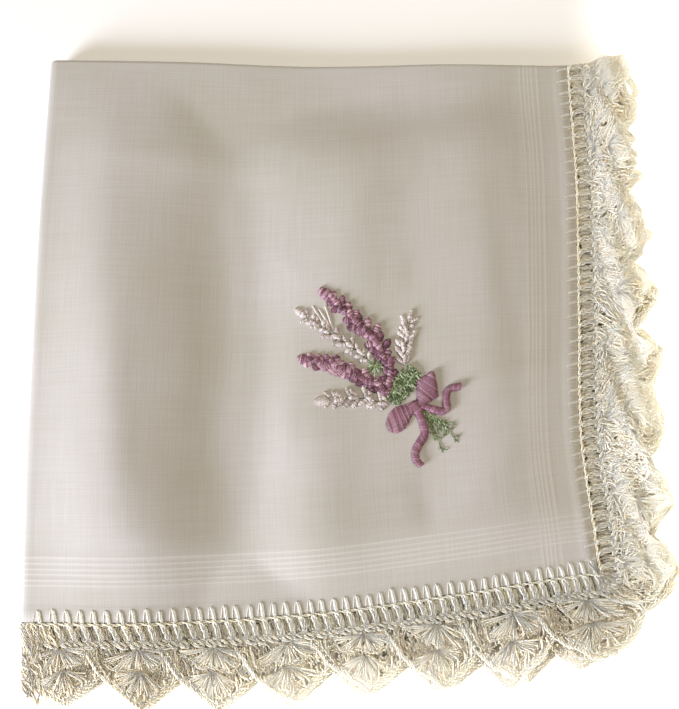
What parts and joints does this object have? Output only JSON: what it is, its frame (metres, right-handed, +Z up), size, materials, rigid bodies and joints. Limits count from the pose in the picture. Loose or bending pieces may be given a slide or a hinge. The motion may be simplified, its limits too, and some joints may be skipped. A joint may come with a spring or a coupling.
{
  "type": "linen handkerchief",
  "caption": "Square linen handkerchief with a scalloped crochet lace edging and an embroidered lavender bunch, folded twice into a flat quarter.",
  "frame": {"origin": "on the surface the cloth lies on, under the middle of the folded outline", "axes": "+Z up, out of the stack of layers; the last fold is at -X, the first fold at +Y, the lace at +X and -Y"},
  "size_m": [0.1554, 0.1599, 0.0107],
  "materials": {
    "linen": "fine plain-woven linen lawn, washed and soft, matt",
    "crochet_cotton": "twisted mercerised crochet cotton, cream, matt with a faint sheen"
  },
  "bodies": {
    "root": {"linen_cloth": "linen", "lace_edging": "crochet_cotton"}
  },
  "joints": []
}
